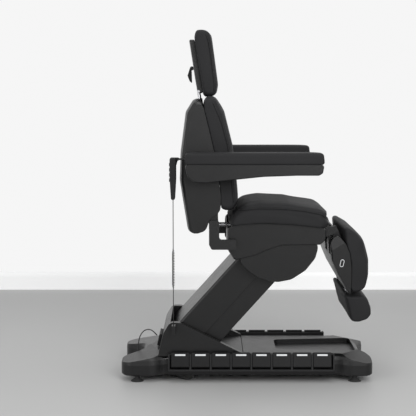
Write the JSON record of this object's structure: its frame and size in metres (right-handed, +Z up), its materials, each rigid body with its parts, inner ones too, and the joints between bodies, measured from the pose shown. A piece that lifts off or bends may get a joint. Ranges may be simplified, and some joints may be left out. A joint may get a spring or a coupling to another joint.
{
  "type": "electric spa treatment chair",
  "caption": "Electric treatment chair on a low base: a parallelogram arm lifts a seat pod with reclining back, headrest, flip-up armrests, leg rest, pull-out foot cushion, pedals and handset",
  "frame": {"origin": "on the floor under the middle of the base", "axes": "+X the sitter's front, +Y the sitter's left, +Z up"},
  "size_m": [1.11, 0.74, 1.5411],
  "materials": {
    "steel": "black powder coat",
    "housing": "satin black moulding",
    "upholstery": "soft black leatherette over foam",
    "fittings": "fine grained black",
    "bright_steel": "polished rod",
    "keys": "satin dark key",
    "rubber": "matt rubber",
    "lead": "smooth sheath"
  },
  "bodies": {
    "base": {"base_frame": "steel", "base_cover": "housing", "levelling_feet": "rubber", "control_box": "fittings", "socket_panel": "fittings", "pedal_bars": "fittings", "pedal_lead": "lead"},
    "lift_arm": {"arm_frame": "steel", "arm_cover": "housing", "lift_actuator": "fittings"},
    "level_link": {"level_link": "housing"},
    "lift_rod": {"lift_rod": "bright_steel"},
    "carrier": {"carrier_frame": "steel", "belly_cover": "housing"},
    "seat": {"seat_frame": "steel", "seat_shell": "housing", "seat_cushion": "upholstery", "tilt_actuator": "fittings", "back_actuator": "fittings", "leg_actuator": "fittings"},
    "tilt_rod": {"tilt_rod": "bright_steel"},
    "back_rod": {"back_rod": "bright_steel"},
    "leg_rod": {"leg_rod": "bright_steel"},
    "backrest": {"back_frame": "steel", "back_shell": "housing", "back_cushion": "upholstery"},
    "headrest_slide": {"headrest_rods": "bright_steel"},
    "headrest": {"headrest_plate": "housing", "headrest_cushion": "upholstery"},
    "headrest_lever": {"headrest_lever": "fittings"},
    "armrest_left": {"armrest_left": "housing", "armrest_pad_left": "upholstery"},
    "armrest_right": {"armrest_right": "housing", "armrest_pad_right": "upholstery"},
    "leg_rest": {"leg_frame": "steel", "leg_shell": "housing", "leg_cushion": "upholstery"},
    "footrest": {"foot_rails": "bright_steel", "foot_cushion": "upholstery"},
    "handset": {"handset_shell": "fittings", "handset_lead_top": "lead", "handset_curl": "lead", "handset_lead_low": "lead"},
    "handset_keys": {"handset_keys": "keys"},
    "pedal_right_1": {"pedal_right_1": "keys"},
    "pedal_left_1": {"pedal_left_1": "keys"},
    "pedal_right_2": {"pedal_right_2": "keys"},
    "pedal_left_2": {"pedal_left_2": "keys"},
    "pedal_right_3": {"pedal_right_3": "keys"},
    "pedal_left_3": {"pedal_left_3": "keys"},
    "pedal_right_4": {"pedal_right_4": "keys"},
    "pedal_left_4": {"pedal_left_4": "keys"},
    "pedal_right_5": {"pedal_right_5": "keys"},
    "pedal_left_5": {"pedal_left_5": "keys"},
    "pedal_right_6": {"pedal_right_6": "keys"},
    "pedal_left_6": {"pedal_left_6": "keys"},
    "pedal_right_7": {"pedal_right_7": "keys"},
    "pedal_left_7": {"pedal_left_7": "keys"},
    "pedal_right_8": {"pedal_right_8": "keys"},
    "pedal_left_8": {"pedal_left_8": "keys"}
  },
  "joints": [
    {"name": "lift", "type": "hinge", "parent": "base", "child": "lift_arm", "pos_m": [-0.248, 0, 0.168], "axis": [0, 1, 0], "range_deg": [-15, 20], "deforming": ["handset_lead_top", "handset_curl", "handset_lead_low"]},
    {"name": "recline", "type": "hinge", "parent": "seat", "child": "backrest", "pos_m": [-0.14541, 0, 0.70008], "axis": [0, 1, 0], "range_deg": [-81, 0], "deforming": ["handset_lead_top", "handset_curl", "handset_lead_low"]},
    {"name": "leg_raise", "type": "hinge", "parent": "seat", "child": "leg_rest", "pos_m": [0.37759, 0, 0.67609], "axis": [0, 1, 0], "range_deg": [-78, 0]},
    {"name": "seat_tilt", "type": "hinge", "parent": "carrier", "child": "seat", "pos_m": [-0.00041, 0, 0.61008], "axis": [0, 1, 0], "range_deg": [-12, 0], "deforming": ["handset_lead_top", "handset_curl", "handset_lead_low"]},
    {"name": "footrest_pull", "type": "slide", "parent": "leg_rest", "child": "footrest", "axis": [0.2181, 0, -0.9759], "range_m": [0, 0.1]},
    {"name": "headrest_height", "type": "slide", "parent": "backrest", "child": "headrest_slide", "axis": [-0.1478, 0, 0.989], "range_m": [0, 0.09]},
    {"name": "headrest_tilt", "type": "hinge", "parent": "headrest_slide", "child": "headrest", "pos_m": [-0.21325, 0, 1.27245], "axis": [0, 1, 0], "range_deg": [-35, 0]},
    {"name": "armrest_flip_left", "type": "hinge", "parent": "backrest", "child": "armrest_left", "pos_m": [-0.17857, 0.28, 0.92995], "axis": [0, 1, 0], "range_deg": [-95, 0]},
    {"name": "armrest_flip_right", "type": "hinge", "parent": "backrest", "child": "armrest_right", "pos_m": [-0.17857, -0.28, 0.92995], "axis": [0, 1, 0], "range_deg": [-95, 0]},
    {"name": "lever_pull", "type": "hinge", "parent": "headrest", "child": "headrest_lever", "pos_m": [-0.24299, 0, 1.37462], "axis": [0, 1, 0], "range_deg": [0, 20], "stiffness_Nm_per_rad": 1, "springref_deg": -11.46},
    {"name": "handset_hang", "type": "hinge", "parent": "backrest", "child": "handset", "pos_m": [-0.30141, -0.245, 0.98404], "axis": [0, 1, 0], "range_deg": [0, 81]},
    {"name": "handset_press", "type": "slide", "parent": "handset", "child": "handset_keys", "axis": [1, 0, 0], "range_m": [0, 0.0012], "stiffness_N_per_m": 600, "springref_m": -0.0004},
    {"name": "level", "type": "hinge", "parent": "lift_arm", "child": "carrier", "pos_m": [0.14459, 0, 0.60708], "axis": [0, 1, 0], "range_deg": [-20, 15]},
    {"name": "link_swing", "type": "hinge", "parent": "base", "child": "level_link", "pos_m": [-0.178, 0, 0.138], "axis": [0, 1, 0], "range_deg": [-15, 20]},
    {"name": "lift_stroke", "type": "slide", "parent": "lift_arm", "child": "lift_rod", "axis": [0.6665, 0, 0.7455], "range_m": [-0.0119, 0.0158]},
    {"name": "tilt_stroke", "type": "slide", "parent": "seat", "child": "tilt_rod", "axis": [-1, 0, 0], "range_m": [0, 0.0127]},
    {"name": "back_stroke", "type": "slide", "parent": "seat", "child": "back_rod", "axis": [1, 0, 0], "range_m": [0, 0.0317]},
    {"name": "leg_stroke", "type": "slide", "parent": "seat", "child": "leg_rod", "axis": [1, 0, 0], "range_m": [0, 0.0237]},
    {"name": "press_pedal_right_1", "type": "hinge", "parent": "base", "child": "pedal_right_1", "pos_m": [-0.2935, -0.223, 0.123], "axis": [1, 0, 0], "range_deg": [0, 5], "stiffness_Nm_per_rad": 2, "springref_deg": -2.86},
    {"name": "press_pedal_left_1", "type": "hinge", "parent": "base", "child": "pedal_left_1", "pos_m": [-0.2935, 0.223, 0.123], "axis": [-1, 0, 0], "range_deg": [0, 5], "stiffness_Nm_per_rad": 2, "springref_deg": -2.86},
    {"name": "press_pedal_right_2", "type": "hinge", "parent": "base", "child": "pedal_right_2", "pos_m": [-0.2045, -0.223, 0.123], "axis": [1, 0, 0], "range_deg": [0, 5], "stiffness_Nm_per_rad": 2, "springref_deg": -2.86},
    {"name": "press_pedal_left_2", "type": "hinge", "parent": "base", "child": "pedal_left_2", "pos_m": [-0.2045, 0.223, 0.123], "axis": [-1, 0, 0], "range_deg": [0, 5], "stiffness_Nm_per_rad": 2, "springref_deg": -2.86},
    {"name": "press_pedal_right_3", "type": "hinge", "parent": "base", "child": "pedal_right_3", "pos_m": [-0.1155, -0.223, 0.123], "axis": [1, 0, 0], "range_deg": [0, 5], "stiffness_Nm_per_rad": 2, "springref_deg": -2.86},
    {"name": "press_pedal_left_3", "type": "hinge", "parent": "base", "child": "pedal_left_3", "pos_m": [-0.1155, 0.223, 0.123], "axis": [-1, 0, 0], "range_deg": [0, 5], "stiffness_Nm_per_rad": 2, "springref_deg": -2.86},
    {"name": "press_pedal_right_4", "type": "hinge", "parent": "base", "child": "pedal_right_4", "pos_m": [-0.0265, -0.223, 0.123], "axis": [1, 0, 0], "range_deg": [0, 5], "stiffness_Nm_per_rad": 2, "springref_deg": -2.86},
    {"name": "press_pedal_left_4", "type": "hinge", "parent": "base", "child": "pedal_left_4", "pos_m": [-0.0265, 0.223, 0.123], "axis": [-1, 0, 0], "range_deg": [0, 5], "stiffness_Nm_per_rad": 2, "springref_deg": -2.86},
    {"name": "press_pedal_right_5", "type": "hinge", "parent": "base", "child": "pedal_right_5", "pos_m": [0.0625, -0.223, 0.123], "axis": [1, 0, 0], "range_deg": [0, 5], "stiffness_Nm_per_rad": 2, "springref_deg": -2.86},
    {"name": "press_pedal_left_5", "type": "hinge", "parent": "base", "child": "pedal_left_5", "pos_m": [0.0625, 0.223, 0.123], "axis": [-1, 0, 0], "range_deg": [0, 5], "stiffness_Nm_per_rad": 2, "springref_deg": -2.86},
    {"name": "press_pedal_right_6", "type": "hinge", "parent": "base", "child": "pedal_right_6", "pos_m": [0.1515, -0.223, 0.123], "axis": [1, 0, 0], "range_deg": [0, 5], "stiffness_Nm_per_rad": 2, "springref_deg": -2.86},
    {"name": "press_pedal_left_6", "type": "hinge", "parent": "base", "child": "pedal_left_6", "pos_m": [0.1515, 0.223, 0.123], "axis": [-1, 0, 0], "range_deg": [0, 5], "stiffness_Nm_per_rad": 2, "springref_deg": -2.86},
    {"name": "press_pedal_right_7", "type": "hinge", "parent": "base", "child": "pedal_right_7", "pos_m": [0.2405, -0.223, 0.123], "axis": [1, 0, 0], "range_deg": [0, 5], "stiffness_Nm_per_rad": 2, "springref_deg": -2.86},
    {"name": "press_pedal_left_7", "type": "hinge", "parent": "base", "child": "pedal_left_7", "pos_m": [0.2405, 0.223, 0.123], "axis": [-1, 0, 0], "range_deg": [0, 5], "stiffness_Nm_per_rad": 2, "springref_deg": -2.86},
    {"name": "press_pedal_right_8", "type": "hinge", "parent": "base", "child": "pedal_right_8", "pos_m": [0.3295, -0.223, 0.123], "axis": [1, 0, 0], "range_deg": [0, 5], "stiffness_Nm_per_rad": 2, "springref_deg": -2.86},
    {"name": "press_pedal_left_8", "type": "hinge", "parent": "base", "child": "pedal_left_8", "pos_m": [0.3295, 0.223, 0.123], "axis": [-1, 0, 0], "range_deg": [0, 5], "stiffness_Nm_per_rad": 2, "springref_deg": -2.86}
  ],
  "couplings": [
    {"joint": "level", "follows": "lift", "ratio": -1},
    {"joint": "link_swing", "follows": "lift", "ratio": 1},
    {"joint": "lift_stroke", "follows": "lift", "m_per_rad": 0.045},
    {"joint": "tilt_stroke", "follows": "seat_tilt", "m_per_rad": -0.06},
    {"joint": "back_stroke", "follows": "recline", "m_per_rad": -0.02235},
    {"joint": "leg_stroke", "follows": "leg_raise", "m_per_rad": -0.0173},
    {"joint": "handset_hang", "follows": "recline", "ratio": -1}
  ]
}
